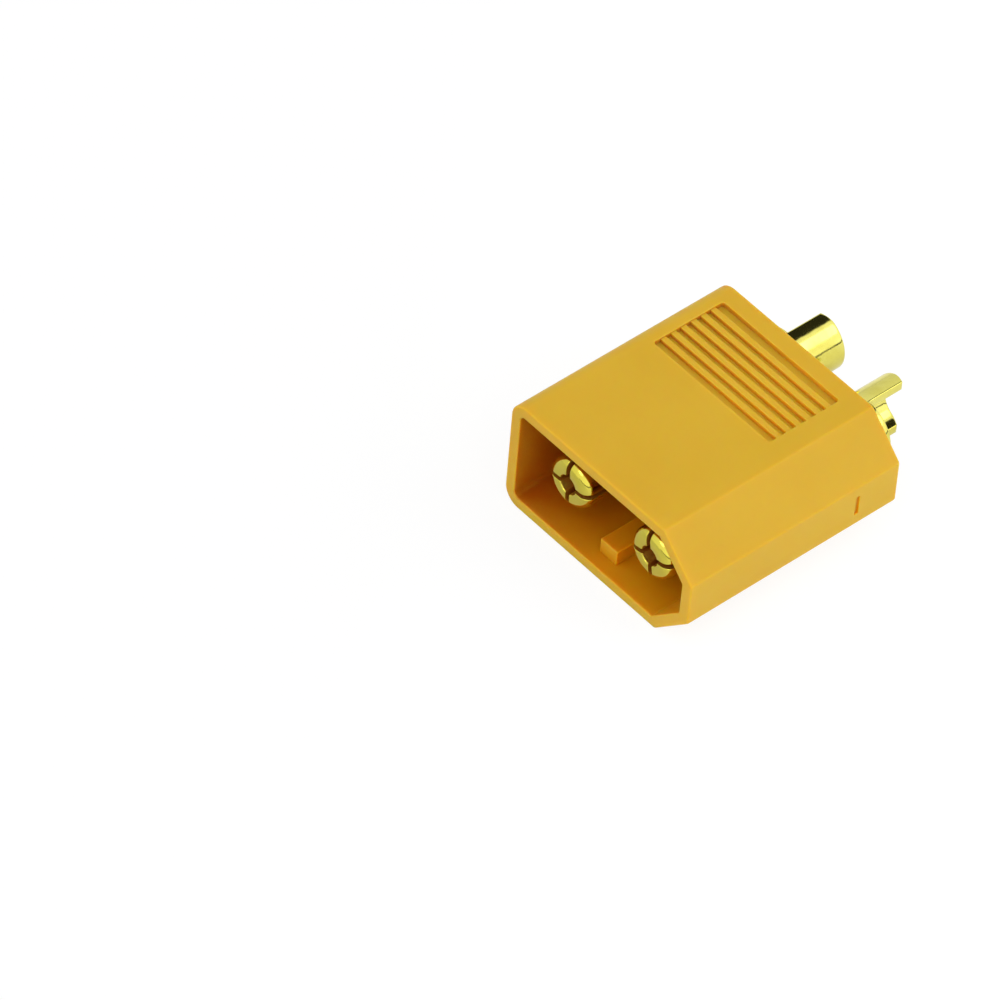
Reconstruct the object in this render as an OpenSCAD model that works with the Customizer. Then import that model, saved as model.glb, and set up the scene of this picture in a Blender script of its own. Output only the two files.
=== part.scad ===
// Two-pole battery connector, male half: a moulded housing with an open socket at the front,
// two slotted bullet pins inside it and two solder cups at the back.
// Millimetres. X runs from the positive to the negative side, Y from the socket to the cups, Z up.
// The origin is the middle of the underside of the whole part.

/* [Housing] */
// Width of the housing
body_w = 16; // [15.4:0.1:18]
// Height of the housing
body_h = 8.3; // [8:0.1:10]
// Length of the housing, without the solder cups
body_l = 16.4; // [15:0.1:22]
// Radius of the two corners on the positive side
corner_r = 1.2; // [0.9:0.1:2]
// Width of the bevelled corners on the negative side
bevel_w = 2.65; // [1.5:0.05:2.8]
// Height of the bevelled corners on the negative side
bevel_h = 2.6; // [1.5:0.05:2.8]
// Radius of the small fillets along the housing
edge_r = 0.3; // [0.1:0.05:0.5]

/* [Socket] */
// Thickness of the walls round the socket
wall_t = 0.8; // [0.6:0.05:1]
// Depth of the socket behind the rim
socket_depth = 10; // [8:0.1:11]

/* [Key rib] */
// Width of the rib on the socket floor
rib_w = 1.5; // [0.8:0.1:2.4]
// Height of the rib above the socket floor
rib_h = 1.05; // [0.5:0.05:1.5]
// Distance from the rim to the front of the rib
rib_setback = 1.05; // [0:0.05:4]

/* [Rear wells] */
// Diameter of the round well behind each contact
well_d = 6.3; // [5.9:0.1:6.6]
// Depth of the wells
well_depth = 2.8; // [1.5:0.1:3]
// Diameter of the collar that holds each contact in its well
collar_d = 5.4; // [5:0.1:5.6]
// Height of that collar above the bottom of the well
collar_h = 1.6; // [0.5:0.1:2.5]

/* [Ribbed panel] */
// Size of the panel across the housing
panel_w = 10.2; // [6:0.1:11]
// Size of the panel along the housing
panel_l = 5.5; // [3:0.1:7]
// Depth of the panel
panel_depth = 0.35; // [0.2:0.05:0.5]
// Distance from the back of the housing to the panel
panel_setback = 1.3; // [0.8:0.1:3]
// Number of ridges across the panel
ridge_count = 6; // [3:1:8]
// Width of each ridge
ridge_w = 0.42; // [0.3:0.02:0.5]
// How far the ridges stay below the top face
ridge_drop = 0.08; // [0.02:0.02:0.14]

/* [Polarity marks] */
// Length of each stroke of the marks
mark_l = 1.45; // [0.8:0.05:2]
// Width of each stroke
mark_w = 0.3; // [0.2:0.05:0.5]
// Depth of each stroke
mark_depth = 0.15; // [0.05:0.05:0.3]
// Distance from the back of the housing to the middle of the marks
mark_setback = 3.25; // [1.5:0.05:5]

/* [Bullet pins] */
// Distance between the two contacts
pitch = 7.2; // [7:0.1:7.8]
// Diameter of the pins
pin_d = 3.5; // [3:0.1:4]
// Distance from the rim to the tips of the pins
pin_setback = 0.75; // [0.2:0.05:2]
// Radius of the rounded nose
nose_r = 0.65; // [0.3:0.05:0.8]
// Diameter of the hole in the tip
tip_hole_d = 1.3; // [0.8:0.1:1.6]
// Depth of the hole in the tip
tip_hole_depth = 5.4; // [4:0.1:7]
// Width of the slots between the four leaves
slot_w = 0.32; // [0.2:0.02:0.5]
// Length of the slots
slot_l = 4.8; // [3:0.1:6.8]
// Turn of the slots in the positive pin, in degrees
slot_turn_positive = 3; // [0:1:45]
// Turn of the slots in the negative pin, in degrees
slot_turn_negative = 10; // [0:1:45]

/* [Shanks and solder cups] */
// Diameter of the shanks and cups
cup_d = 4.3; // [4.1:0.1:4.5]
// How far the cups stand out of the back of the housing
cup_out = 4.4; // [3.5:0.05:5]
// Diameter of the bore that takes the wire
cup_bore_d = 3; // [2.4:0.1:3.4]
// Depth of that bore
cup_bore_depth = 6.2; // [5:0.05:6.5]
// Length of the half-round tongue at the end of the cup
tongue_l = 2.9; // [1:0.1:3.4]
// Radius of the corners at the end of the tongue
tongue_r = 0.25; // [0.1:0.05:0.8]
// Diameter of the retaining flange inside the housing
flange_d = 5.1; // [4.8:0.1:5.6]
// Thickness of the retaining flange
flange_t = 0.6; // [0.4:0.1:1]
// Distance from the bottom of the socket to the retaining flange
flange_setback = 1.2; // [0.6:0.1:1.6]

/* [Fits] */
// Radial room round each contact in the housing
seat_gap = 0.02; // [0.01:0.01:0.05]

/* [Hidden] */
$fn = 64;
cut = 0.5;
full_l = body_l + cup_out;
axis_h = body_h / 2;
web_back = body_l - well_depth;
flange_y = socket_depth + flange_setback;
panel_mid_x = -bevel_w / 2;
panel_back = body_l - panel_setback;
ridge_step = panel_l / (ridge_count + 1);
ridge_root = 0.2;
ridge_span = panel_w + 2 * ridge_root;
ridge_foot = body_h - panel_depth - ridge_root;
mark_y = body_l - mark_setback;

function unit(v) = v / norm(v);

// Legs of a bevel once its corner has moved inwards by inset
function bevel_stretch(inset) = inset * norm([1 / bevel_w, 1 / bevel_h]);
function inset_w(inset) = bevel_w * (1 + bevel_stretch(inset) - inset / bevel_h) - inset;
function inset_h(inset) = bevel_h * (1 + bevel_stretch(inset) - inset / bevel_w) - inset;

// Corners of the housing's section as [[x, z], radius], counter-clockwise, moved inwards by inset
function section_corners(inset, fillet) =
    let(x = body_w / 2 - inset, low = inset, high = body_h - inset,
        bw = inset_w(inset), bh = inset_h(inset), round_r = max(corner_r - inset, fillet))
    [
        [[-x, low], round_r],
        [[x - bw, low], fillet],
        [[x, low + bh], fillet],
        [[x, high - bh], fillet],
        [[x - bw, high], fillet],
        [[-x, high], round_r]
    ];

// Directions from corner i to the corners before and after it
function before(c, i) = unit(c[(i + len(c) - 1) % len(c)][0] - c[i][0]);
function after(c, i) = unit(c[(i + 1) % len(c)][0] - c[i][0]);
function half_angle(c, i) = acos(before(c, i) * after(c, i)) / 2;

// Convex outline whose corners are true arcs
module rounded_outline(c) {
    polygon([
        for (i = [0:len(c) - 1])
            let(reach = c[i][1] / tan(half_angle(c, i)))
            each [c[i][0] + before(c, i) * reach, c[i][0] + after(c, i) * reach]
    ]);
    for (i = [0:len(c) - 1])
        translate(c[i][0] + unit(before(c, i) + after(c, i)) * c[i][1] / sin(half_angle(c, i)))
            circle(r = c[i][1]);
}

// Extrudes an outline drawn in X and Z from y = from to y = to
module along_y(from, to) {
    translate([0, to, 0]) rotate([90, 0, 0]) linear_extrude(to - from) children();
}

// Turns a shape made along Z so that it runs along Y, on the axis of the contact at x
module on_contact_axis(x) {
    translate([x, 0, axis_h]) rotate([-90, 0, 0]) children();
}

// Round bar along the local Z axis
module bar(d, from, to) {
    translate([0, 0, from]) cylinder(d = d, h = to - from);
}

module housing_shell() {
    difference() {
        along_y(0, body_l) rounded_outline(section_corners(0, edge_r));
        along_y(-cut, socket_depth) rounded_outline(section_corners(wall_t, edge_r / 2));
    }
}

module key_rib() {
    translate([-rib_w / 2, rib_setback, wall_t / 2])
        cube([rib_w, socket_depth - rib_setback + cut, wall_t / 2 + rib_h]);
}

// Well, contact bore and flange groove, as one cutter
module contact_seat() {
    difference() {
        bar(well_d, web_back, body_l + cut);
        bar(collar_d, web_back - cut, web_back + collar_h);
    }
    bar(cup_d + 2 * seat_gap, socket_depth - cut, body_l);
    bar(flange_d + 2 * seat_gap, flange_y, flange_y + flange_t);
}

module panel_pocket() {
    translate([panel_mid_x - panel_w / 2, panel_back - panel_l, body_h - panel_depth])
        cube([panel_w, panel_l, panel_depth + cut]);
}

module panel_ridges() {
    for (i = [1:ridge_count])
        translate([panel_mid_x - ridge_span / 2, panel_back - i * ridge_step - ridge_w / 2, ridge_foot])
            cube([ridge_span, ridge_w, body_h - ridge_drop - ridge_foot]);
}

// One stroke of a mark in the side at x, long in Y or in Z
module stroke(x, size_y, size_z) {
    translate([x, mark_y, axis_h]) cube([2 * mark_depth, size_y, size_z], center = true);
}

module polarity_marks() {
    stroke(body_w / 2, mark_w, mark_l);
    stroke(-body_w / 2, mark_w, mark_l);
    stroke(-body_w / 2, mark_l, mark_w);
}

module housing() {
    color([0.86, 0.66, 0.2])
    translate([0, -full_l / 2, 0]) {
        difference() {
            union() {
                housing_shell();
                key_rib();
            }
            for (side = [-1, 1]) on_contact_axis(side * pitch / 2) contact_seat();
            panel_pocket();
            polarity_marks();
        }
        panel_ridges();
    }
}

module contact_outline() {
    pin_r = pin_d / 2;
    translate([0, pin_setback]) square([pin_r - nose_r, nose_r + cut]);
    translate([pin_r - nose_r, pin_setback + nose_r]) circle(r = nose_r);
    translate([0, pin_setback + nose_r]) square([pin_r, socket_depth - pin_setback - nose_r]);
    translate([0, socket_depth]) square([cup_d / 2, full_l - socket_depth]);
    translate([0, flange_y]) square([flange_d / 2, flange_t]);
}

module leaf_slots(turn) {
    for (quarter = [0, 90])
        rotate([0, 0, turn + quarter])
            translate([-pin_d, -slot_w / 2, pin_setback - cut])
                cube([2 * pin_d, slot_w, slot_l + cut]);
}

// Rounds the two corners at the end of the tongue, as seen from the side
module tongue_corners() {
    for (side = [0, 1])
        mirror([0, side, 0]) rotate([0, 90, 0])
            linear_extrude(2 * cup_d, center = true)
                translate([-full_l, cup_d / 2])
                    difference() {
                        square(2 * tongue_r, center = true);
                        translate([tongue_r, -tongue_r]) circle(r = tongue_r);
                    }
}

// Turned contact on the axis at x, with its cup open towards the side that open names, -1 or 1
module contact(x, turn, open) {
    color([0.83, 0.68, 0.3])
    translate([0, -full_l / 2, 0])
    on_contact_axis(x)
    difference() {
        rotate_extrude() contact_outline();
        bar(tip_hole_d, pin_setback - cut, pin_setback + tip_hole_depth);
        leaf_slots(turn);
        bar(cup_bore_d, full_l - cup_bore_depth, full_l + cut);
        translate([open > 0 ? 0 : -cup_d, -cup_d, full_l - tongue_l])
            cube([cup_d, 2 * cup_d, tongue_l + cut]);
        tongue_corners();
    }
}

module contact_positive() {
    contact(-pitch / 2, slot_turn_positive, -1);
}

module contact_negative() {
    contact(pitch / 2, slot_turn_negative, 1);
}

housing();
contact_positive();
contact_negative();
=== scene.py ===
"""Looks of a two-pole battery connector, male half: a yellow housing and two gold-plated contacts.

Metres, in the frame of the CAD model: X from the positive to the negative side, Y from the socket
to the solder cups, Z up, the origin in the middle of the underside.
"""

import math

import bmesh
import bpy
from mathutils import Matrix, Vector


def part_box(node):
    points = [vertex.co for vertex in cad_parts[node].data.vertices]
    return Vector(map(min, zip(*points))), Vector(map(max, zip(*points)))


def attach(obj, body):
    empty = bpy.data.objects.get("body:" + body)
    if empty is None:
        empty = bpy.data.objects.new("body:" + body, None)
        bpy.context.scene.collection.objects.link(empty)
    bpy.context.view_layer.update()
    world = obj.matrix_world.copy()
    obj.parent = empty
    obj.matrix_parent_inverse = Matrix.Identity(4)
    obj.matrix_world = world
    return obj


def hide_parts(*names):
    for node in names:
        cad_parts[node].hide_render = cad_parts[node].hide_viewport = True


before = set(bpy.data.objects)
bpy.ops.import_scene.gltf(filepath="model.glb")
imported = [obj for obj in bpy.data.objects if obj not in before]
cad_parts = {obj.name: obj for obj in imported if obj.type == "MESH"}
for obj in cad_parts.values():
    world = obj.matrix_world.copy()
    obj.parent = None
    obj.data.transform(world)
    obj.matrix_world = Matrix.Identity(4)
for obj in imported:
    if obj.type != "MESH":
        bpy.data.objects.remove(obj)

bl_info = {
    "name": "Battery connector, male half",
    "version": (1, 0, 0),
    "blender": (4, 5, 0),
    "location": "View3D > Sidebar > Connector",
    "description": "Builds the housing, the contacts and the studio of a two-pole battery connector",
    "category": "Object",
}

MM = 0.001
SOCKET_DEPTH = 10 * MM
HOUSING_LOW, HOUSING_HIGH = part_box("housing")
PIN_LOW, CUP_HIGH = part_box("contact_negative")
RIM_Y = HOUSING_LOW.y
FLOOR_Y = RIM_Y + SOCKET_DEPTH
BACK_Y = HOUSING_HIGH.y
TIP_Y = PIN_LOW.y
END_Y = CUP_HIGH.y
AXIS_Z = HOUSING_HIGH.z / 2

X_AXIS = Vector((1, 0, 0))
Y_AXIS = Vector((0, 1, 0))
Z_AXIS = Vector((0, 0, 1))

# Room round each contact in the housing
SEAT_GAP = 0.02 * MM
# How deep the key rib and the ridges are rooted in the housing
RIB_ROOT = 0.3 * MM
RIDGE_ROOT = 0.2 * MM
# How far the rim of a cutter lies above the surface, and how far the cutter reaches past it
LIFT = 0.003 * MM
OVERCUT = 0.5 * MM

# Radii at the corners, the mouth and the bottom of the panel and of the polarity marks
PANEL_RADII = (0.2 * MM, 0.06 * MM, 0.05 * MM)
MARK_RADII = (0.06 * MM, 0.05 * MM, 0.05 * MM)
# Radii of the key rib's edges, of the tip hole's mouth and of the shank's step in the socket
RIB_EDGE = 0.09 * MM
TIP_HOLE_EDGE = 0.12 * MM
STEP_EDGE = 0.06 * MM
# Radii of the collar's inner and outer edge and its foot, and of the foot and the mouth of the well
COLLAR_INNER_EDGE = 0.06 * MM
COLLAR_OUTER_EDGE = 0.12 * MM
COLLAR_FOOT = 0.1 * MM
WELL_FOOT = 0.2 * MM
WELL_MOUTH = 0.1 * MM

# Steps of a full turn, of the cup's full turn and of a leaf's quarter turn, and rows along the cup
TURN_STEPS = 96
CUP_STEPS = 160
LEAF_STEPS = 22
CUP_ROWS = 14

# Vertices closer than this are one, and vertices this close to the axis or to a plane lie on it
SAME_POINT = 0.0001 * MM
ON_AXIS = 1e-9
ON_PLANE = 0.0004 * MM
# Share of an edge's length along a direction, or of a face's normal, that counts as the whole
PARALLEL = 0.999
FACING = 0.9
# Edges of a block that turn by more than this are rounded, along its length and elsewhere
LONG_CREASE = math.radians(30)
CREASE = math.radians(60)
# Edges that turn by more than this stay sharp in the shading
SHARP = math.radians(35)
# A fillet takes this share of its radius from each face of a corner that turns by 45 degrees
SLANT = math.tan(math.radians(22.5))
# A Boolean loses shapes as small as these, so the meshes are this much larger while it runs
BOOLEAN_SCALE = 1000

# Places and sizes of the lamps, and half the size of the floor
KEY_PLACE = (0.23, 0.18, 0.31)
KEY_SIZE = 0.24
FILL_PLACE = (0.1, -0.26, 0.33)
FILL_SIZE = 0.16
FLOOR_REACH = 1.5


def length(name, description, default_mm, smallest_mm=0.0):
    """A length that a user can change, given in millimetres and kept in metres."""
    return bpy.props.FloatProperty(
        name=name,
        description=description,
        default=default_mm * MM,
        min=smallest_mm * MM,
        unit="LENGTH",
        precision=5,
    )


def colour(name, description, default):
    return bpy.props.FloatVectorProperty(
        name=name,
        description=description,
        default=default,
        min=0.0,
        max=1.0,
        size=3,
        subtype="COLOR",
    )


def angle(name, description, default_degrees):
    """An angle that a user can change, given in degrees and kept in radians."""
    return bpy.props.FloatProperty(
        name=name,
        description=description,
        default=math.radians(default_degrees),
        subtype="ANGLE",
    )


def amount(name, description, default, smallest=0.0, unit="NONE"):
    return bpy.props.FloatProperty(
        name=name,
        description=description,
        default=default,
        min=smallest,
        unit=unit,
    )


class HousingSettings(bpy.types.PropertyGroup):
    """Sizes and colours of the moulded housing."""

    corner: length("Corner radius", "Radius of the two corners on the positive side", 1.2)
    bevel_width: length("Bevel width", "Width of the two bevelled corners", 2.65)
    bevel_height: length("Bevel height", "Height of the two bevelled corners", 2.6)
    wall: length("Wall", "Thickness of the walls round the socket", 0.8)
    edge: length("Bevel edges", "Radius of the long edges of the bevels", 0.3)
    rim_edge: length("Outer edges", "Radius of the outer edges at the front and the back", 0.13)
    mouth_edge: length("Mouth edge", "Radius of the inner edge of the rim", 0.09)
    floor_fillet: length("Socket fillet", "Radius where the socket walls meet its floor", 0.11)
    rib_width: length("Rib width", "Width of the key rib on the socket floor", 1.5)
    rib_height: length("Rib height", "Height of the key rib", 1.05)
    rib_setback: length("Rib setback", "Distance from the rim to the key rib", 1.05)
    well: length("Well radius", "Radius of the round wells at the back", 3.15)
    well_depth: length("Well depth", "Depth of the round wells", 2.8)
    collar: length("Collar radius", "Radius of the collar that holds each contact", 2.7)
    collar_height: length("Collar height", "Height of that collar in its well", 1.6)
    panel_width: length("Panel width", "Size of the ribbed panel across the housing", 10.2)
    panel_length: length("Panel length", "Size of the ribbed panel along the housing", 5.5)
    panel_depth: length("Panel depth", "Depth of the ribbed panel", 0.35)
    panel_setback: length("Panel setback", "Distance from the back to the panel", 1.3)
    ridge_width: length("Ridge width", "Width of the ridges in the panel", 0.42)
    ridge_edge: length("Ridge edges", "Radius of the upper edges of the ridges", 0.06)
    ridge_drop: length("Ridge drop", "How far the ridges stay below the top", 0.08)
    ridges: bpy.props.IntProperty(
        name="Ridges", description="Number of ridges in the panel", default=6, min=1, max=12
    )
    mark_length: length("Mark length", "Length of each stroke of the polarity marks", 1.45)
    mark_width: length("Mark width", "Width of each stroke", 0.3)
    mark_depth: length("Mark depth", "Depth of each stroke", 0.15)
    mark_setback: length("Mark setback", "Distance from the back to the marks", 3.25)
    yellow: colour("Yellow", "Colour of the moulded nylon", (0.672, 0.424, 0.027))
    amber: colour("Amber", "Darker flow streaks in the nylon", (0.635, 0.375, 0.017))
    # Painted shade: the next two colours are blended into the nylon in its hollows, where shade falls,
    # the second and darker one towards the positive side
    painted_recess_shade: colour("Recess", "Deeper tone of the nylon in its hollows", (0.69, 0.27, 0.002))
    painted_deeper_shade: colour("Depths", "The same towards the positive side", (0.46, 0.1, 0.001))


class ContactSettings(bpy.types.PropertyGroup):
    """Sizes and colours of the two contacts."""

    pitch: length("Pitch", "Distance between the contacts", 7.2)
    pin: length("Pin radius", "Radius of the pins", 1.75)
    nose: length("Nose radius", "Radius of the rounded nose", 0.65)
    tip_hole: length("Tip hole radius", "Radius of the hole in the tip", 0.65)
    tip_hole_depth: length("Tip hole depth", "Depth of the hole in the tip", 5.4)
    slot: length("Slot width", "Width of the slots between the leaves", 0.32)
    slot_length: length("Slot length", "Length of the slots", 4.8)
    slot_edge: length("Slot edge", "Radius of the edges along the slots", 0.05)
    turn_positive: angle("Positive slots", "Turn of the slots in the positive pin", 3)
    turn_negative: angle("Negative slots", "Turn of the slots in the negative pin", 10)
    shank: length("Shank radius", "Radius of the shanks and the cups", 2.15)
    bore: length("Cup bore radius", "Radius of the bore that takes the wire", 1.5)
    bore_depth: length("Cup bore depth", "Depth of that bore", 6.2)
    tongue: length("Tongue length", "Length of the half-round tongue", 2.9)
    tongue_corner: length("Tongue corner", "Radius of the corners at its end", 0.25)
    cup_edge: length("Cup edges", "Radius of the cut edges of the cup", 0.06)
    flange: length("Flange radius", "Radius of the retaining flange", 2.55)
    flange_thickness: length("Flange thickness", "Thickness of the flange", 0.6)
    flange_setback: length("Flange setback", "Distance from the socket floor to the flange", 1.2)
    gold: colour("Gold", "Colour of the plating", (0.93, 0.86, 0.21))
    # Tarnish for the duller patches, and painted shade too: the pins inside the socket are blended
    # towards this colour
    tarnish_and_pin_shade: colour("Tarnish", "Colour of the plating where it is duller", (0.68, 0.58, 0.06))
    # Painted shade: this dark brown stands in for the shade deep in the slots and the holes
    painted_slot_shade: colour("Soot", "Brown film in the slots and the holes", (0.3, 0.07, 0.005))


class StageSettings(bpy.types.PropertyGroup):
    """Camera, lamps and floor."""

    camera_place: bpy.props.FloatVectorProperty(
        name="Camera",
        description="Place of the camera",
        default=(0.274528, -0.288624, 0.414925),
        size=3,
        subtype="TRANSLATION",
        unit="LENGTH",
    )
    azimuth: angle("Azimuth", "Turn of the camera round Z", 45.47)
    elevation: angle("Elevation", "How far the camera looks down", 46.32)
    roll: angle("Roll", "Turn of the camera round its view", 5.007)
    lens: amount("Lens", "Focal length in millimetres on a 36 mm sensor", 351.03, smallest=1.0)
    floor: colour("Floor", "Colour of the floor", (0.9, 0.9, 0.9))
    key: amount("Key lamp", "Power of the lamp behind the object", 0.17, unit="POWER")
    fill: amount("Fill lamp", "Power of the lamp over the socket", 0.12, unit="POWER")
    room: amount("Room", "Brightness of the room round the object", 0.95)
    dark: amount("Dark part", "Brightness of the dark part of the room", 0.02)


def object_from(bm, name):
    """A new object whose mesh is bm, which is freed."""
    mesh = bpy.data.meshes.new(name)
    bm.to_mesh(mesh)
    bm.free()
    piece = bpy.data.objects.new(name, mesh)
    bpy.context.scene.collection.objects.link(piece)
    return piece


def piece_from(bm, name):
    """The same, with all faces turned outward first."""
    bmesh.ops.recalc_face_normals(bm, faces=bm.faces)
    return object_from(bm, name)


def apply_modifiers(piece):
    """Turns the modifiers of a piece into its mesh."""
    depsgraph = bpy.context.evaluated_depsgraph_get()
    shaped = bpy.data.meshes.new_from_object(piece.evaluated_get(depsgraph))
    rough = piece.data
    piece.modifiers.clear()
    piece.data = shaped
    bpy.data.meshes.remove(rough)


def carve(piece, tool, operation):
    """Adds the tool to the piece or takes it away, and removes the tool."""
    for each in (piece, tool):
        each.data.transform(Matrix.Scale(BOOLEAN_SCALE, 4))
    boolean = piece.modifiers.new("carve", "BOOLEAN")
    boolean.solver = "EXACT"
    boolean.operation = operation
    boolean.object = tool
    apply_modifiers(piece)
    piece.data.transform(Matrix.Scale(1 / BOOLEAN_SCALE, 4))
    bpy.data.objects.remove(tool)


def smooth_faces(piece):
    """Smooth shading between the sharp edges, with flat faces kept flat."""
    bm = bmesh.new()
    bm.from_mesh(piece.data)
    bmesh.ops.remove_doubles(bm, verts=bm.verts, dist=SAME_POINT)
    bmesh.ops.dissolve_degenerate(bm, edges=bm.edges, dist=SAME_POINT)
    for face in bm.faces:
        face.smooth = True
    for edge in bm.edges:
        edge.smooth = edge.calc_face_angle(0.0) < SHARP
    bm.to_mesh(piece.data)
    bm.free()
    weighted = piece.modifiers.new("soft shading", "WEIGHTED_NORMAL")
    weighted.keep_sharp = True
    weighted.weight = 60
    apply_modifiers(piece)


def round_edges(bm, edges, radius, segments, affect="EDGES"):
    bmesh.ops.bevel(
        bm,
        geom=edges,
        offset=radius,
        offset_type="OFFSET",
        segments=segments,
        profile=0.5,
        affect=affect,
        clamp_overlap=False,
        material=-1,
    )


def round_corner(bm, corner, radius, segments):
    """Rounds a corner of a flat outline."""
    round_edges(bm, [corner], radius, segments, affect="VERTICES")


def push(bm, face, shift):
    """Extrudes a face by the vector shift and returns the moved face."""
    made = bmesh.ops.extrude_face_region(bm, geom=[face])["geom"]
    moved = [v for v in made if isinstance(v, bmesh.types.BMVert)]
    bmesh.ops.translate(bm, vec=shift, verts=moved)
    if face.is_valid:
        bmesh.ops.delete(bm, geom=[face], context="FACES_ONLY")
    return next(f for f in made if isinstance(f, bmesh.types.BMFace) and len(f.verts) == len(moved))


def push_copy(bm, face, shift):
    """Extrudes a lone face by the vector shift into a closed block."""
    made = bmesh.ops.extrude_face_region(bm, geom=[face], use_keep_orig=True)["geom"]
    moved = [v for v in made if isinstance(v, bmesh.types.BMVert)]
    bmesh.ops.translate(bm, vec=shift, verts=moved)


def along(edge, direction):
    """Whether an edge runs along a unit vector."""
    span = edge.verts[1].co - edge.verts[0].co
    return abs(span.dot(direction)) > PARALLEL * span.length


def all_at(edge, axis, place):
    return all(abs(v.co[axis] - place) < ON_PLANE for v in edge.verts)


def on_outside(edge):
    """Whether an edge of the housing block is on its outer skin, which faces away from its middle."""
    middle = Vector((0, 0, AXIS_Z))
    for face in edge.link_faces:
        if abs(face.normal.y) > FACING:
            continue
        out = face.calc_center_median() - middle
        out.y = 0
        if face.normal.dot(out) < 0:
            return False
    return True


def section_corner_points(settings):
    """Corners of the housing's section, from the low positive one, counter-clockwise from the front."""
    half, high = HOUSING_HIGH.x, HOUSING_HIGH.z
    across, up = settings.bevel_width, settings.bevel_height
    return [
        (-half, 0.0),
        (half - across, 0.0),
        (half, up),
        (half, high - up),
        (half - across, high),
        (-half, high),
    ]


def housing_block(settings):
    """The housing with its socket, and with rounded long edges, rims and socket floor."""
    bm = bmesh.new()
    ring = [bm.verts.new((x, RIM_Y, z)) for x, z in section_corner_points(settings)]
    push_copy(bm, bm.faces.new(ring), Vector((0, BACK_Y - RIM_Y, 0)))
    bmesh.ops.recalc_face_normals(bm, faces=bm.faces)
    front = next(f for f in bm.faces if f.normal.y < -FACING)
    bmesh.ops.inset_region(bm, faces=[front], thickness=settings.wall, use_even_offset=True)
    push(bm, front, Vector((0, FLOOR_Y - RIM_Y, 0)))
    half = HOUSING_HIGH.x
    wall = settings.wall
    for inset, radius, segments in ((0.0, settings.corner, 12), (wall, settings.corner - wall, 8)):
        edges = [e for e in bm.edges if along(e, Y_AXIS) and all_at(e, 0, inset - half)]
        round_edges(bm, edges, radius, segments)
    long_edges = [e for e in bm.edges if along(e, Y_AXIS) and e.calc_face_angle(0) > LONG_CREASE]
    outer = [e for e in long_edges if on_outside(e)]
    inner = [e for e in long_edges if not on_outside(e)]
    round_edges(bm, outer, settings.edge * SLANT, segments=4)
    round_edges(bm, inner, settings.edge / 2 * SLANT, segments=3)
    creases = [e for e in bm.edges if e.calc_face_angle(0) > CREASE]
    rim = [e for e in creases if all_at(e, 1, RIM_Y)]
    outer = [e for e in rim if on_outside(e)] + [e for e in creases if all_at(e, 1, BACK_Y)]
    mouth = [e for e in rim if not on_outside(e)]
    floor = [e for e in creases if all_at(e, 1, FLOOR_Y)]
    round_edges(bm, outer, settings.rim_edge, segments=4)
    round_edges(bm, mouth, settings.mouth_edge, segments=3)
    round_edges(bm, floor, settings.floor_fillet, segments=4)
    return piece_from(bm, "housing_shell")


def key_rib(settings):
    """The key rib, rooted in the wall below it and in the bottom of the socket."""
    low = settings.wall / 2
    high = settings.wall + settings.rib_height
    front = RIM_Y + settings.rib_setback
    back = FLOOR_Y + RIB_ROOT
    place = Matrix.Translation((0, (front + back) / 2, (low + high) / 2))
    size = Matrix.Diagonal((settings.rib_width, back - front, high - low, 1))
    bm = bmesh.new()
    bmesh.ops.create_cube(bm, size=1, matrix=place @ size)
    top = [e for e in bm.edges if all_at(e, 2, high) and not all_at(e, 1, back)]
    nose = [e for e in bm.edges if all_at(e, 1, front) and not all_at(e, 2, low) and e not in top]
    round_edges(bm, top + nose, RIB_EDGE, segments=3)
    return piece_from(bm, "rib_tool")


def spun_tool(points, x, name):
    """A closed shape turned about the axis of the contact at x. Each of the points is a radius, a y and
    the radius that rounds the corner there, or 0."""
    bm = bmesh.new()
    corners = [bm.verts.new((radius, y, 0)) for radius, y, rounding in points]
    bm.faces.new(corners)
    for corner, (radius, y, rounding) in zip(corners, points):
        if rounding:
            round_corner(bm, corner, rounding, segments=4)
    bmesh.ops.delete(bm, geom=list(bm.faces), context="FACES_ONLY")
    axis_edges = [e for e in bm.edges if all(abs(v.co.x) < ON_AXIS for v in e.verts)]
    bmesh.ops.delete(bm, geom=axis_edges, context="EDGES")
    bmesh.ops.spin(
        bm,
        geom=bm.verts[:] + bm.edges[:],
        cent=(0, 0, 0),
        axis=Y_AXIS,
        angle=math.tau,
        steps=TURN_STEPS,
        use_merge=True,
    )
    bmesh.ops.remove_doubles(bm, verts=bm.verts, dist=SAME_POINT)
    bmesh.ops.translate(bm, vec=(x, 0, AXIS_Z), verts=bm.verts)
    return piece_from(bm, name)


def contact_seat(settings, contacts, x):
    """Cutter for the bore, the flange groove and the well of one contact."""
    bore = contacts.shank + SEAT_GAP
    groove = contacts.flange + SEAT_GAP
    groove_y = FLOOR_Y + contacts.flange_setback
    web_y = BACK_Y - settings.well_depth
    collar_y = web_y + settings.collar_height
    brim = settings.well + 2 * WELL_MOUTH
    points = [
        (0, FLOOR_Y - OVERCUT, 0),
        (bore, FLOOR_Y - OVERCUT, 0),
        (bore, groove_y, 0),
        (groove, groove_y, 0),
        (groove, groove_y + contacts.flange_thickness, 0),
        (bore, groove_y + contacts.flange_thickness, 0),
        (bore, collar_y, COLLAR_INNER_EDGE),
        (settings.collar, collar_y, COLLAR_OUTER_EDGE),
        (settings.collar, web_y, COLLAR_FOOT),
        (settings.well, web_y, WELL_FOOT),
        (settings.well, BACK_Y + LIFT, WELL_MOUTH),
        (brim, BACK_Y + LIFT, 0),
        (brim, BACK_Y + OVERCUT, 0),
        (0, BACK_Y + OVERCUT, 0),
    ]
    return spun_tool(points, x, "seat_tool")


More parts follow.
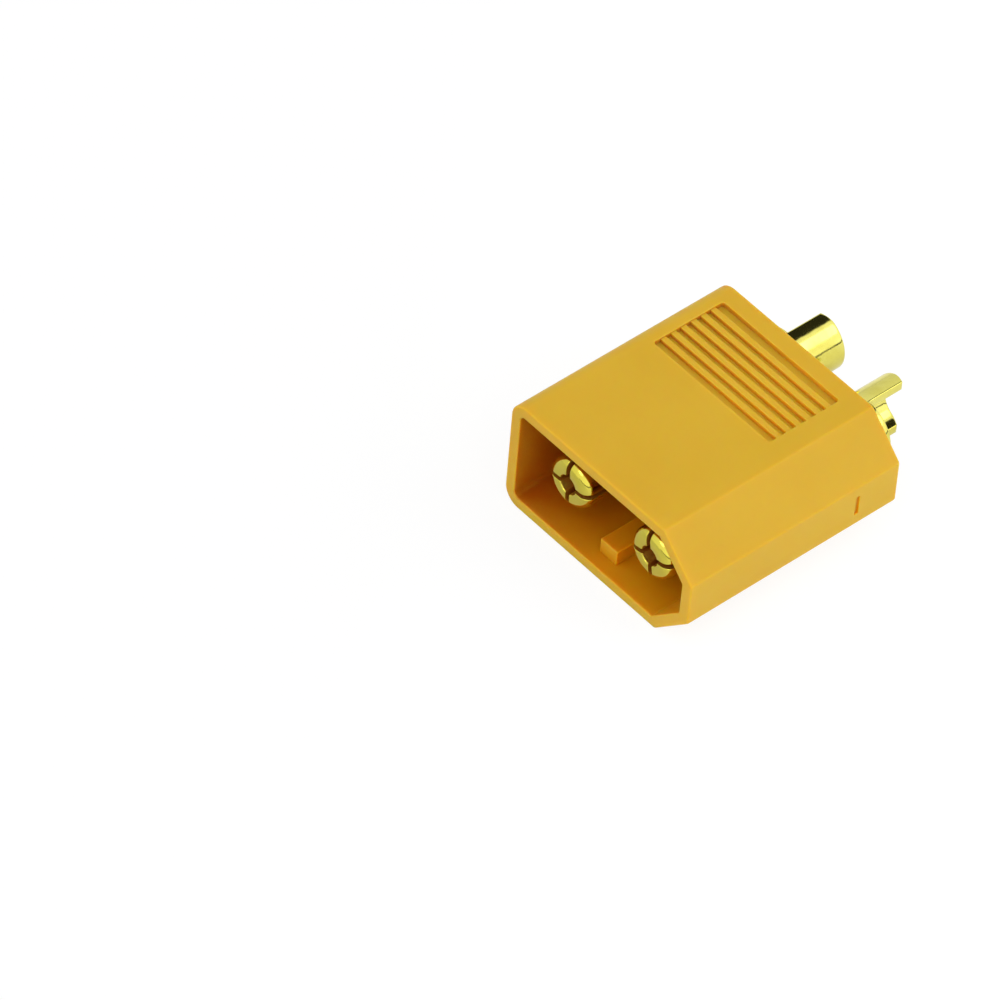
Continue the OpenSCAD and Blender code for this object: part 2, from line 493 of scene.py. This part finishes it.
def sunk_tool(size, depth, radii, place, name):
    """Cutter for a shallow sunk shape with rounded edges. It is made on the plane Z = 0, and place puts
    it on the surface. The radii are those of its corners, its mouth and its bottom."""
    corner, mouth, bottom = radii
    half_width = size[0] / 2
    half_length = size[1] / 2
    margin = 2 * mouth
    plate = Matrix.Diagonal((half_width + margin, half_length + margin, 1, 1))
    bm = bmesh.new()
    bmesh.ops.create_grid(bm, x_segments=1, y_segments=1, size=1, matrix=plate)
    bmesh.ops.translate(bm, vec=(0, 0, LIFT), verts=bm.verts)
    bm.faces.ensure_lookup_table()
    push_copy(bm, bm.faces[0], Vector((0, 0, OVERCUT)))
    bmesh.ops.recalc_face_normals(bm, faces=bm.faces)
    under = next(f for f in bm.faces if f.normal.z < -FACING)
    bmesh.ops.inset_region(bm, faces=[under], thickness=margin, use_even_offset=True)
    push(bm, under, Vector((0, 0, -depth - LIFT)))
    bmesh.ops.recalc_face_normals(bm, faces=bm.faces)
    upright = [e for e in bm.edges if along(e, Z_AXIS) and min(v.co.z for v in e.verts) < 0]
    round_edges(bm, upright, corner, segments=4)
    bmesh.ops.recalc_face_normals(bm, faces=bm.faces)
    creases = [e for e in bm.edges if e.calc_face_angle(0) > CREASE]
    inside_x = half_width + mouth
    inside_y = half_length + mouth
    mouth_edges = [
        e
        for e in creases
        if all_at(e, 2, LIFT)
        and all(abs(v.co.x) < inside_x and abs(v.co.y) < inside_y for v in e.verts)
    ]
    bottom_edges = [e for e in creases if all_at(e, 2, -depth)]
    round_edges(bm, mouth_edges, mouth, segments=4)
    round_edges(bm, bottom_edges, bottom, segments=3)
    bm.transform(place)
    return piece_from(bm, name)


def panel_middle(settings):
    return Vector(
        (
            -settings.bevel_width / 2,
            BACK_Y - settings.panel_setback - settings.panel_length / 2,
            HOUSING_HIGH.z,
        )
    )


def panel_pocket(settings):
    size = (settings.panel_width, settings.panel_length)
    place = Matrix.Translation(panel_middle(settings))
    return sunk_tool(size, settings.panel_depth, PANEL_RADII, place, "panel_tool")


def ridges(settings):
    """The flat-topped ridges across the sunk panel."""
    middle = panel_middle(settings)
    step = settings.panel_length / (settings.ridges + 1)
    back = BACK_Y - settings.panel_setback
    top = middle.z - settings.ridge_drop
    foot = middle.z - settings.panel_depth - RIDGE_ROOT
    width = settings.panel_width + 2 * RIDGE_ROOT
    size = Matrix.Diagonal((width, settings.ridge_width, top - foot, 1))
    bm = bmesh.new()
    for i in range(settings.ridges):
        place = Matrix.Translation((middle.x, back - (i + 1) * step, (top + foot) / 2))
        bmesh.ops.create_cube(bm, size=1, matrix=place @ size)
    upper = [e for e in bm.edges if along(e, X_AXIS) and all_at(e, 2, top)]
    round_edges(bm, upper, settings.ridge_edge, segments=3)
    return piece_from(bm, "ridge_tool")


def stroke(settings, side, upright):
    """Cutter for one stroke of a polarity mark in the side of the housing."""
    middle = Vector((side * HOUSING_HIGH.x, BACK_Y - settings.mark_setback, AXIS_Z))
    size = (settings.mark_length, settings.mark_width)
    if not upright:
        size = size[::-1]
    place = Matrix.Translation(middle) @ Matrix.Rotation(side * math.pi / 2, 4, "Y")
    return sunk_tool(size, settings.mark_depth, MARK_RADII, place, "stroke_tool")


def leaf(settings):
    """One of the four leaves of a pin, about the Y axis, with straight slot faces."""
    end_y = TIP_Y + settings.slot_length
    bm = bmesh.new()
    outline = [
        (settings.pin, end_y),
        (settings.pin, TIP_Y),
        (settings.tip_hole, TIP_Y),
        (settings.tip_hole, end_y),
    ]
    corners = [bm.verts.new((radius, y, 0)) for radius, y in outline]
    bm.faces.new(corners)
    round_corner(bm, corners[1], settings.nose, segments=10)
    round_corner(bm, corners[2], TIP_HOLE_EDGE, segments=3)
    quarter = math.pi / 2
    bmesh.ops.spin(
        bm,
        geom=bm.verts[:] + bm.edges[:] + bm.faces[:],
        cent=(0, 0, 0),
        axis=Y_AXIS,
        angle=quarter,
        steps=LEAF_STEPS,
    )
    bmesh.ops.remove_doubles(bm, verts=bm.verts, dist=SAME_POINT)
    half = settings.slot / 2
    for vert in bm.verts:
        radius = math.hypot(vert.co.x, vert.co.z)
        turned = math.atan2(abs(vert.co.z), vert.co.x)
        edge = math.asin(half / radius)
        turned = edge + turned / quarter * (quarter - 2 * edge)
        vert.co = (radius * math.cos(turned), vert.co.y, radius * math.sin(turned))
    bmesh.ops.recalc_face_normals(bm, faces=bm.faces)
    sides = [
        f
        for f in bm.faces
        if any(all(abs(v.co[axis] - half) < SAME_POINT for v in f.verts) for axis in (0, 2))
    ]
    side_edges = {e for f in sides for e in f.edges if not all_at(e, 1, end_y)}
    round_edges(bm, list(side_edges), settings.slot_edge, segments=3)
    return piece_from(bm, "leaf")


def shank(settings, x):
    """The solid middle of a contact, from the end of the slots to the bottom of the cup."""
    slot_y = TIP_Y + settings.slot_length
    hole_y = TIP_Y + settings.tip_hole_depth
    flange_y = FLOOR_Y + settings.flange_setback
    bottom_y = END_Y - settings.bore_depth
    points = [
        (0, hole_y, 0),
        (settings.tip_hole, hole_y, 0),
        (settings.tip_hole, slot_y, 0),
        (settings.pin, slot_y, 0),
        (settings.pin, FLOOR_Y, 0),
        (settings.shank, FLOOR_Y, STEP_EDGE),
        (settings.shank, flange_y, 0),
        (settings.flange, flange_y, 0),
        (settings.flange, flange_y + settings.flange_thickness, 0),
        (settings.shank, flange_y + settings.flange_thickness, 0),
        (settings.shank, bottom_y, 0),
        (0, bottom_y, 0),
    ]
    return spun_tool(points, x, "shank")


def cup(settings, x, side):
    """The solder cup: a tube with its outer half cut away at the end, which leaves the tongue."""
    start = END_Y - settings.bore_depth
    cut_y = END_Y - settings.tongue
    ys = [start + (cut_y - start) * i / CUP_ROWS for i in range(CUP_ROWS)]
    ys += [cut_y + settings.tongue * i / CUP_ROWS for i in range(CUP_ROWS + 1)]
    bm = bmesh.new()
    chain = [bm.verts.new((settings.shank, y, 0)) for y in ys]
    for pair in zip(chain, chain[1:]):
        bm.edges.new(pair)
    bmesh.ops.spin(
        bm,
        geom=bm.verts[:] + bm.edges[:],
        cent=(0, 0, 0),
        axis=Y_AXIS,
        angle=math.tau,
        steps=CUP_STEPS,
        use_merge=True,
    )
    bmesh.ops.remove_doubles(bm, verts=bm.verts, dist=SAME_POINT)
    gone = [
        f
        for f in bm.faces
        if f.calc_center_median().x * side > 0 and f.calc_center_median().y > cut_y
    ]
    bmesh.ops.delete(bm, geom=gone, context="FACES")
    corner = settings.tongue_corner
    for vert in bm.verts:
        over = abs(vert.co.z) - (settings.shank - corner)
        if vert.co.y > cut_y and over > 0:
            drop = corner - math.sqrt(max(corner ** 2 - over ** 2, 0))
            share = (vert.co.y - cut_y) / settings.tongue
            vert.co.y -= drop * share
    bmesh.ops.translate(bm, vec=(x, 0, AXIS_Z), verts=bm.verts)
    bmesh.ops.recalc_face_normals(bm, faces=bm.faces)
    axis_point = Vector((x, 0, AXIS_Z))
    outward = sum(
        f.normal.dot(f.calc_center_median() - axis_point)
        for f in bm.faces
        if f.calc_center_median().y < cut_y
    )
    if outward < 0:
        bmesh.ops.reverse_faces(bm, faces=bm.faces)
    piece = object_from(bm, "cup")
    solidify = piece.modifiers.new("wall", "SOLIDIFY")
    solidify.thickness = settings.shank - settings.bore
    solidify.offset = -1
    solidify.use_even_offset = True
    bevel = piece.modifiers.new("edges", "BEVEL")
    bevel.width = settings.cup_edge
    bevel.segments = 3
    bevel.limit_method = "ANGLE"
    bevel.angle_limit = math.radians(50)
    bevel.use_clamp_overlap = False
    apply_modifiers(piece)
    return piece


def join(pieces, name):
    """One object from several, which are removed."""
    bm = bmesh.new()
    for piece in pieces:
        bm.from_mesh(piece.data)
        bpy.data.objects.remove(piece)
    return object_from(bm, name)


class Nodes:
    """Short calls for building the nodes of a material or a world. A value, a factor or a colour can be
    the output of another node or a constant."""

    def __init__(self, owner):
        owner.use_nodes = True
        self.tree = owner.node_tree
        self.tree.nodes.clear()

    def add(self, kind, **settings):
        node = self.tree.nodes.new(kind)
        for key, value in settings.items():
            setattr(node, key, value)
        return node

    def put(self, given, socket):
        if isinstance(given, bpy.types.NodeSocket):
            self.tree.links.new(given, socket)
        else:
            socket.default_value = given

    def fill(self, node, **inputs):
        """Sets or links inputs of a node by their names, with _ for each space."""
        for key, given in inputs.items():
            self.put(given, node.inputs[key.replace("_", " ")])

    def noise(self, where, scale, detail, roughness=0.5):
        node = self.add("ShaderNodeTexNoise")
        self.fill(node, Vector=where, Scale=scale, Detail=detail, Roughness=roughness)
        return node.outputs["Fac"]

    def spread(self, source, low, high, from_low=0.3, from_high=0.7):
        """Maps a value, by default a noise, to the range from low to high."""
        node = self.add("ShaderNodeMapRange")
        self.fill(node, Value=source, From_Min=from_low, From_Max=from_high, To_Min=low, To_Max=high)
        return node.outputs["Result"]

    def calculate(self, operation, *values):
        node = self.add("ShaderNodeMath", operation=operation)
        for given, socket in zip(values, node.inputs):
            self.put(given, socket)
        return node.outputs[0]

    def product(self, first, second):
        return self.calculate("MULTIPLY", first, second)

    def blend(self, share, first, second):
        """Blends two colours."""
        node = self.add("ShaderNodeMix", data_type="RGBA")
        self.fill(node, Factor=share)
        for key, given in (("A", first), ("B", second)):
            constant = not isinstance(given, bpy.types.NodeSocket)
            self.put((*given, 1) if constant else given, node.inputs[key])
        return node.outputs["Result"]

    def parts(self, vector):
        """The X, Y and Z of a vector output."""
        node = self.add("ShaderNodeSeparateXYZ")
        self.put(vector, node.inputs[0])
        return node.outputs

    def reach(self, where, direction):
        """How far a vector output reaches in a direction."""
        node = self.add("ShaderNodeVectorMath", operation="DOT_PRODUCT")
        self.put(where, node.inputs[0])
        self.put(Vector(direction).normalized(), node.inputs[1])
        return node.outputs["Value"]

    def hollows(self, distance, low, high):
        """1 in hollows of the piece itself, as wide as distance, and 0 in the open."""
        node = self.add("ShaderNodeAmbientOcclusion", samples=4, only_local=True)
        self.fill(node, Distance=distance)
        return self.spread(node.outputs["AO"], 1.0, 0.0, low, high)

    def bump(self, height, strength, distance, normal=None):
        node = self.add("ShaderNodeBump")
        self.fill(node, Height=height, Strength=strength, Distance=distance)
        if normal is not None:
            self.put(normal, node.inputs["Normal"])
        return node.outputs["Normal"]

    def camera_rays(self):
        return self.add("ShaderNodeLightPath").outputs["Is Camera Ray"]

    def shared(self, share, first, second):
        """Blends two shaders."""
        node = self.add("ShaderNodeMixShader")
        for given, socket in zip((share, first, second), node.inputs):
            self.put(given, socket)
        return node.outputs[0]

    def finish(self, shader, kind="ShaderNodeOutputMaterial"):
        self.fill(self.add(kind), Surface=shader)


def moulded_nylon(settings):
    """Satin yellow nylon with faint flow streaks, a fine mould texture and light inside its walls. Its
    hollows get a painted shade of darker orange, most of all towards the positive side and hardly at
    all on the top."""
    material = bpy.data.materials.new("moulded_nylon")
    nodes = Nodes(material)
    place = nodes.add("ShaderNodeTexCoord").outputs
    where = place["Object"]
    streaks = nodes.noise(where, scale=170, detail=3, roughness=0.55)
    grain = nodes.noise(where, scale=9000, detail=3, roughness=0.6)
    patches = nodes.noise(where, scale=420, detail=2)
    tone = nodes.blend(nodes.spread(streaks, 0, 0.5), settings.yellow, settings.amber)
    spot = nodes.parts(where)
    near_top = nodes.spread(spot["Z"], 0.0, 1.0, from_low=7.4 * MM, from_high=7.9 * MM)
    facing_up = nodes.parts(place["Normal"])["Z"]
    flat = nodes.spread(facing_up, 0.45, 1.0, from_low=0.4, from_high=0.9)
    share = nodes.spread(nodes.product(near_top, flat), 1.0, 0.15, from_low=0.0, from_high=1.0)
    # Painted shade: the hollows are blended towards a darker orange, hardly on the top and most towards
    # the positive side
    painted_shade_mask = nodes.product(nodes.hollows(12 * MM, low=0.52, high=0.97), share)
    across = nodes.spread(spot["X"], 0.0, 1.0, from_low=-6.5 * MM, from_high=0.5 * MM)
    painted_hollow_shade = nodes.blend(across, settings.painted_deeper_shade, settings.painted_recess_shade)
    shader = nodes.add("ShaderNodeBsdfPrincipled")
    nodes.fill(
        shader,
        Base_Color=nodes.blend(painted_shade_mask, tone, painted_hollow_shade),
        Roughness=nodes.spread(patches, 0.36, 0.46),
        Normal=nodes.bump(grain, strength=0.18, distance=0.004 * MM),
        IOR=1.5,
        Specular_IOR_Level=0.2,
        Subsurface_Weight=1.0,
        Subsurface_Radius=(1.0, 0.45, 0.08),
        Subsurface_Scale=0.9 * MM,
    )
    nodes.finish(shader.outputs["BSDF"])
    return material


def gold_plate(settings):
    """Turned metal under thin gold, with fine turning marks round the axis and duller patches. The pins
    inside the socket carry a painted shade, darker than the cups, and the slots and the holes a painted
    shade of dark brown that is hardly metallic."""
    material = bpy.data.materials.new("gold_plate")
    nodes = Nodes(material)
    where = nodes.add("ShaderNodeTexCoord").outputs["Object"]
    squeeze = nodes.add("ShaderNodeMapping")
    nodes.fill(squeeze, Vector=where, Scale=(0.02, 1, 0.02))
    turning = nodes.noise(squeeze.outputs["Vector"], scale=9000, detail=2, roughness=0.6)
    dents = nodes.noise(where, scale=1300, detail=1)
    patches = nodes.noise(where, scale=600, detail=3, roughness=0.6)
    grain = nodes.noise(where, scale=16000, detail=2)
    tone = nodes.blend(nodes.spread(patches, 0, 0.6), settings.gold, settings.tarnish_and_pin_shade)
    # Painted shade: the pins inside the socket are blended towards the darker colour
    from_y = FLOOR_Y - 1 * MM
    to_y = FLOOR_Y + 1 * MM
    painted_pin_shade = nodes.spread(nodes.parts(where)["Y"], 0.8, 0.0, from_low=from_y, from_high=to_y)
    tone = nodes.blend(painted_pin_shade, tone, settings.tarnish_and_pin_shade)
    # Painted shade: deep in the slots and the holes the colour goes dark brown and hardly metallic
    painted_shade_mask = nodes.hollows(1.8 * MM, low=0.35, high=0.7)
    lines = nodes.bump(turning, strength=0.2, distance=0.003 * MM)
    waves = nodes.bump(dents, strength=0.5, distance=0.02 * MM, normal=lines)
    shader = nodes.add("ShaderNodeBsdfPrincipled")
    nodes.fill(
        shader,
        Base_Color=nodes.blend(painted_shade_mask, tone, settings.painted_slot_shade),
        Metallic=nodes.spread(painted_shade_mask, 1.0, 0.1, from_low=0.0, from_high=1.0),
        Roughness=nodes.spread(patches, 0.08, 0.15),
        Normal=nodes.bump(grain, strength=0.12, distance=0.002 * MM, normal=waves),
    )
    nodes.finish(shader.outputs["BSDF"])
    return material


def studio_floor(tint):
    """White paper with a painted shade, a little darker in front of the object on the left. For the
    camera it is lifted towards white, so that only the shadow shows."""
    dimming = 0.75
    camera_lift = 0.8
    material = bpy.data.materials.new("studio_floor")
    nodes = Nodes(material)
    where = nodes.add("ShaderNodeTexCoord").outputs["Object"]
    # Painted shade on the floor, darker towards the front on the left
    rearward = nodes.reach(where, (0.75, 0.65, 0))
    bright = nodes.spread(rearward, 0, 1, from_low=-20 * MM, from_high=5 * MM)
    painted_floor_shade = tuple(c * dimming for c in tint)
    paper = nodes.add("ShaderNodeBsdfDiffuse")
    nodes.fill(paper, Color=nodes.blend(bright, painted_floor_shade, tint))
    glow = nodes.add("ShaderNodeEmission")
    nodes.fill(glow, Color=(1, 1, 1, 1), Strength=1.08)
    lift = nodes.product(nodes.camera_rays(), camera_lift)
    nodes.finish(nodes.shared(lift, paper.outputs[0], glow.outputs[0]))
    return material


def studio_world(settings):
    """White for the camera. For the object it is a bright room, brighter on the right, with a dark part
    high up behind the object and a thin dark line above the floor on the right."""
    line_height = 0.07
    line_half = 0.04
    line_level = 0.06
    world = bpy.data.worlds.new("studio")
    bpy.context.scene.world = world
    nodes = Nodes(world)
    where = nodes.add("ShaderNodeTexCoord").outputs["Generated"]
    upward = nodes.reach(where, (-0.21, 0.48, 0.85))
    dark = nodes.spread(upward, settings.room, settings.dark, from_low=0.94, from_high=0.96)
    rightward = nodes.reach(where, (1, -0.3, 0.1))
    slope = nodes.spread(rightward, 0.76, 1.34, from_low=-0.9, from_high=0.9)
    spot = nodes.parts(where)
    on_line = nodes.calculate("COMPARE", spot["Z"], line_height, line_half)
    on_right = nodes.spread(spot["X"], 0.0, 1.0, from_low=0.0, from_high=0.1)
    line = nodes.product(on_line, on_right)
    light = nodes.spread(line, 1.0, line_level, from_low=0.0, from_high=1.0)
    room = nodes.add("ShaderNodeBackground")
    nodes.fill(room, Color=nodes.product(nodes.product(dark, slope), light))
    white = nodes.add("ShaderNodeBackground")
    nodes.fill(white, Color=(1, 1, 1, 1))
    seen = nodes.shared(nodes.camera_rays(), room.outputs[0], white.outputs[0])
    nodes.finish(seen, kind="ShaderNodeOutputWorld")


def soft_lamp(name, place, size, power):
    """A round lamp that shines on the origin."""
    lamp = bpy.data.lights.new(name, "AREA")
    lamp.shape = "DISK"
    lamp.size = size
    lamp.energy = power
    holder = bpy.data.objects.new(name, lamp)
    bpy.context.scene.collection.objects.link(holder)
    holder.location = place
    holder.rotation_euler = (-Vector(place)).to_track_quat("-Z", "Y").to_euler()


def dress(piece, node, material):
    """Hands a finished piece to the frame, in the place of a CAD node."""
    piece.data.materials.clear()
    piece.data.materials.append(material)
    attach(piece, "root")
    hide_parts(node)


class CONNECTOR_OT_housing(bpy.types.Operator):
    """Build the moulded housing with its socket, wells, ribbed panel and polarity marks"""

    bl_idname = "connector.housing"
    bl_label = "Build housing"
    bl_options = {"REGISTER", "UNDO"}

    def execute(self, context):
        settings = context.scene.connector_housing
        contacts = context.scene.connector_contacts
        housing = housing_block(settings)
        carve(housing, key_rib(settings), "UNION")
        for side in (-1, 1):
            seat = contact_seat(settings, contacts, side * contacts.pitch / 2)
            carve(housing, seat, "DIFFERENCE")
        carve(housing, panel_pocket(settings), "DIFFERENCE")
        carve(housing, ridges(settings), "UNION")
        for side, upright in ((1, True), (-1, True), (-1, False)):
            carve(housing, stroke(settings, side, upright), "DIFFERENCE")
        smooth_faces(housing)
        dress(housing, "housing", moulded_nylon(settings))
        return {"FINISHED"}


class CONNECTOR_OT_contacts(bpy.types.Operator):
    """Build the two gold-plated contacts with their slotted pins and solder cups"""

    bl_idname = "connector.contacts"
    bl_label = "Build contacts"
    bl_options = {"REGISTER", "UNDO"}

    def execute(self, context):
        settings = context.scene.connector_contacts
        gold = gold_plate(settings)
        for name, side, turn in (
            ("positive", -1, settings.turn_positive),
            ("negative", 1, settings.turn_negative),
        ):
            x = side * settings.pitch / 2
            on_axis = Matrix.Translation((x, 0, AXIS_Z))
            parts = [shank(settings, x), cup(settings, x, side)]
            for quarter in range(4):
                part = leaf(settings)
                turned = Matrix.Rotation(quarter * math.pi / 2 - turn, 4, "Y")
                part.data.transform(on_axis @ turned)
                parts.append(part)
            contact = join(parts, name + "_contact")
            smooth_faces(contact)
            dress(contact, "contact_" + name, gold)
        return {"FINISHED"}


class CONNECTOR_OT_stage(bpy.types.Operator):
    """Set up the camera, the lamps, the white room and the floor"""

    bl_idname = "connector.stage"
    bl_label = "Set up studio"
    bl_options = {"REGISTER", "UNDO"}

    def execute(self, context):
        settings = context.scene.connector_stage
        scene = context.scene
        camera = bpy.data.objects.new("camera", bpy.data.cameras.new("camera"))
        scene.collection.objects.link(camera)
        camera.data.lens = settings.lens
        camera.data.clip_start = 0.01
        camera.data.clip_end = 20
        turn = Matrix.Rotation(settings.azimuth, 4, "Z")
        tilt = Matrix.Rotation(math.pi / 2 - settings.elevation, 4, "X")
        roll = Matrix.Rotation(settings.roll, 4, "Z")
        camera.matrix_world = Matrix.Translation(settings.camera_place) @ turn @ tilt @ roll
        scene.camera = camera
        scene.view_settings.view_transform = "Standard"

        bm = bmesh.new()
        bmesh.ops.create_grid(bm, x_segments=4, y_segments=4, size=FLOOR_REACH)
        floor = piece_from(bm, "floor")
        floor.data.materials.append(studio_floor(settings.floor))
        studio_world(settings)
        soft_lamp("key_lamp", KEY_PLACE, KEY_SIZE, settings.key)
        soft_lamp("fill_lamp", FILL_PLACE, FILL_SIZE, settings.fill)
        return {"FINISHED"}


class CONNECTOR_PT_panel(bpy.types.Panel):
    """Buttons and settings of the connector"""

    bl_idname = "CONNECTOR_PT_panel"
    bl_label = "Battery connector"
    bl_space_type = "VIEW_3D"
    bl_region_type = "UI"
    bl_category = "Connector"

    def draw(self, context):
        for operator, settings in (
            (CONNECTOR_OT_housing, context.scene.connector_housing),
            (CONNECTOR_OT_contacts, context.scene.connector_contacts),
            (CONNECTOR_OT_stage, context.scene.connector_stage),
        ):
            box = self.layout.box()
            box.operator(operator.bl_idname)
            for key in settings.__annotations__:
                box.prop(settings, key)


CLASSES = (
    HousingSettings,
    ContactSettings,
    StageSettings,
    CONNECTOR_OT_housing,
    CONNECTOR_OT_contacts,
    CONNECTOR_OT_stage,
    CONNECTOR_PT_panel,
)


def register():
    for cls in CLASSES:
        bpy.utils.register_class(cls)
    bpy.types.Scene.connector_housing = bpy.props.PointerProperty(type=HousingSettings)
    bpy.types.Scene.connector_contacts = bpy.props.PointerProperty(type=ContactSettings)
    bpy.types.Scene.connector_stage = bpy.props.PointerProperty(type=StageSettings)


def unregister():
    del bpy.types.Scene.connector_stage
    del bpy.types.Scene.connector_contacts
    del bpy.types.Scene.connector_housing
    for cls in reversed(CLASSES):
        bpy.utils.unregister_class(cls)


def main():
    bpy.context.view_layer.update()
    register()
    bpy.ops.connector.housing()
    bpy.ops.connector.contacts()
    bpy.ops.connector.stage()


if __name__ == "__main__":
    main()
